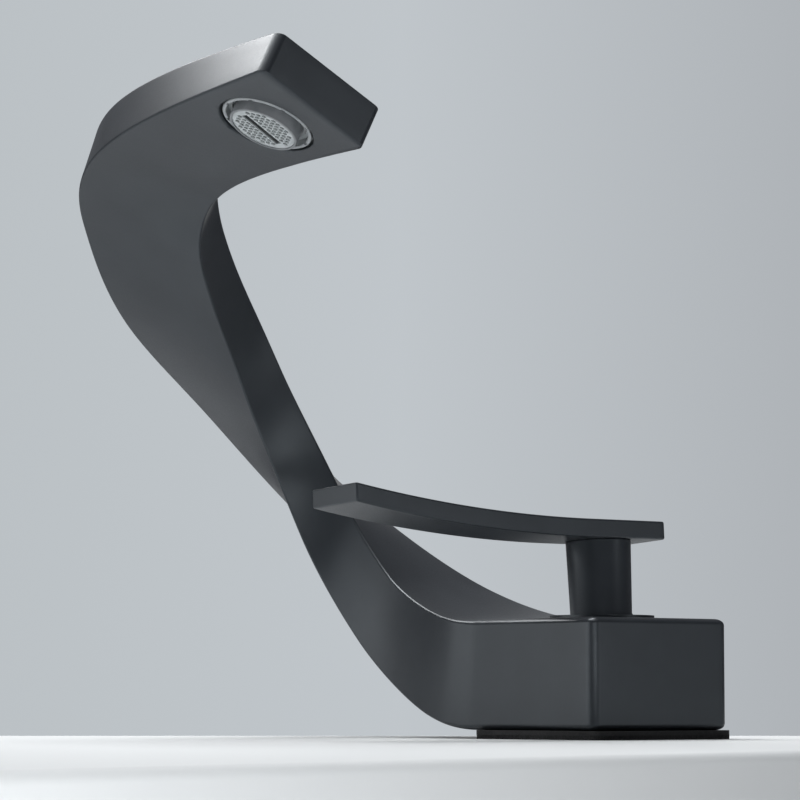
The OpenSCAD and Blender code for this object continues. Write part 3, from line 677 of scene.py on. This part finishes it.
def onDeck(right, depth):
    # a place on the deck, in millimetres to the right of the camera and away from it
    turn, seat = radians(view["azimuth"] + view["yaw"]), radians(view["azimuth"])
    eye = Vector((view["distance"] * sin(seat), -view["distance"] * cos(seat), 0))
    return eye + Vector((cos(turn), sin(turn), 0)) * right * mm + Vector((-sin(turn), cos(turn), 0)) * depth * mm


def addDeck():
    (leftX, leftY), (rightX, rightY) = studio["deckFront"]
    slope = (rightY - leftY) / (rightX - leftX)
    leftEnd, rightEnd = studio["leftEnd"], studio["rightEnd"]
    corners = [onDeck(leftEnd, leftY - slope * (leftX - leftEnd) * studio["leftShare"]),
               onDeck(*studio["deckFront"][0]), onDeck(*studio["deckFront"][1]),
               onDeck(rightEnd, rightY + slope * (rightEnd - rightX) * studio["rightShare"])]
    corners += [onDeck(*corner) for corner in studio["deckBack"]]
    bm = bmesh.new()
    face = bm.faces.new([bm.verts.new(corner) for corner in corners])
    moved = bmesh.ops.extrude_face_region(bm, geom=[face])["geom"]
    bmesh.ops.translate(bm, verts=[item for item in moved if isinstance(item, bmesh.types.BMVert)],
                        vec=(0, 0, -studio["deckThickness"]))
    bmesh.ops.recalc_face_normals(bm, faces=bm.faces)
    bevelEdges(bm, sharpEdges(bm), studio["deckEdge"], 6)
    mesh = bpy.data.meshes.new("deck")
    bm.to_mesh(mesh)
    bm.free()
    deck = bpy.data.objects.new("deck", mesh)
    scene.collection.objects.link(deck)
    hole = studio["deckHole"]
    cutOut(deck, [cutterAlong([(0, -30 * mm), (hole, -30 * mm), (hole, 10 * mm), (0, 10 * mm)], Matrix.Identity(4))])
    deck.data.shade_smooth()
    deck.data.set_sharp_from_angle(angle=radians(30))
    material, tree, shader = newMaterial("deckGlaze", {"Base Color": studio["deckColor"], "Roughness": 0.5,
                                                       "Specular IOR Level": 0.2})
    deck.data.materials.clear()
    deck.data.materials.append(material)


def addFloor():
    # a grey floor under the deck, dimly seen in the undersides
    bm = bmesh.new()
    bmesh.ops.create_circle(bm, cap_ends=True, segments=128, radius=studio["floorRadius"])
    bmesh.ops.translate(bm, verts=bm.verts, vec=(0, 0, studio["floorHeight"]))
    mesh = bpy.data.meshes.new("floor")
    bm.to_mesh(mesh)
    bm.free()
    material, tree, shader = newMaterial("floorPaint", {"Base Color": studio["floorColor"], "Roughness": 0.6})
    mesh.materials.append(material)
    floor = bpy.data.objects.new("floor", mesh)
    scene.collection.objects.link(floor)


def addWorld():
    # the pale backdrop is seen only by the camera; the surround fills the shadows
    world = bpy.data.worlds.new("studio")
    scene.world = world
    world.use_nodes = True
    tree = world.node_tree
    tree.nodes.clear()
    rays = addNode(tree, "ShaderNodeLightPath")
    turn = radians(view["azimuth"] + view["yaw"])
    place = addNode(tree, "ShaderNodeTexCoord")
    rightward = addNode(tree, "ShaderNodeVectorMath", operation="DOT_PRODUCT")
    rightward.inputs[1].default_value = (cos(turn), sin(turn), 0)
    tree.links.new(place.outputs["Generated"], rightward.inputs[0])
    # painted shade: the backdrop seen by the camera is coloured darker towards the right
    across = rangeOf(tree, rightward.outputs["Value"], 0, 1, -studio["backdropSpread"],
                     studio["backdropSpread"])
    shown = addNode(tree, "ShaderNodeBackground", Strength=1.0)
    tree.links.new(rampOf(tree, across, studio["backdrop"]), shown.inputs["Color"])
    lit = addNode(tree, "ShaderNodeBackground", Color=studio["surround"], Strength=1.0)
    mix = addNode(tree, "ShaderNodeMixShader")
    output = addNode(tree, "ShaderNodeOutputWorld")
    tree.links.new(rays.outputs["Is Camera Ray"], mix.inputs["Fac"])
    tree.links.new(lit.outputs["Background"], mix.inputs[1])
    tree.links.new(shown.outputs["Background"], mix.inputs[2])
    tree.links.new(mix.outputs["Shader"], output.inputs["Surface"])


def softbox(name, azimuth, elevation, distance, width, height, power, aim=(-0.04, -0.06, 0.09)):
    data = bpy.data.lights.new(name, "AREA")
    data.shape = "RECTANGLE"
    data.size = width
    data.size_y = height
    data.energy = power
    turn, rise = radians(azimuth), radians(elevation)
    target = Vector(aim)
    place = target + Vector((sin(turn) * cos(rise), -cos(turn) * cos(rise), sin(rise))) * distance
    lamp = bpy.data.objects.new(name, data)
    lamp.location = place
    lamp.rotation_euler = (place - target).to_track_quat("Z", "Y").to_euler()
    scene.collection.objects.link(lamp)


addDeck()
addWorld()
addFloor()
# azimuth and elevation in degrees, distance, width and height in metres, power in watts
lamps = {
    "skyLight": (-80, 66, 1.4, 1.3, 0.8, 27),
    "topLight": (30, 80, 1.5, 1.5, 1.5, 9),
    # brightens the side of the upper bend
    "sideLight": (-79, 43, 1.4, 0.5, 0.36, 7.6),
    "backLight": (-131, 4, 1.4, 0.6, 0.28, 0.4),
    "frontLight": (-24, 4, 1.4, 1.5, 0.5, 5.0),
    "stripLight": (119, 2, 1.5, 0.6, 0.8, 1.9)}
for name, lamp in lamps.items():
    softbox(name, *lamp)
# lights the deck's front edge from just below the camera's view
softbox("wallLight", view["azimuth"] + view["yaw"], -6, 0.3, 0.7, 0.05, 1.4, aim=onDeck(22, 635))
print("studio lit")
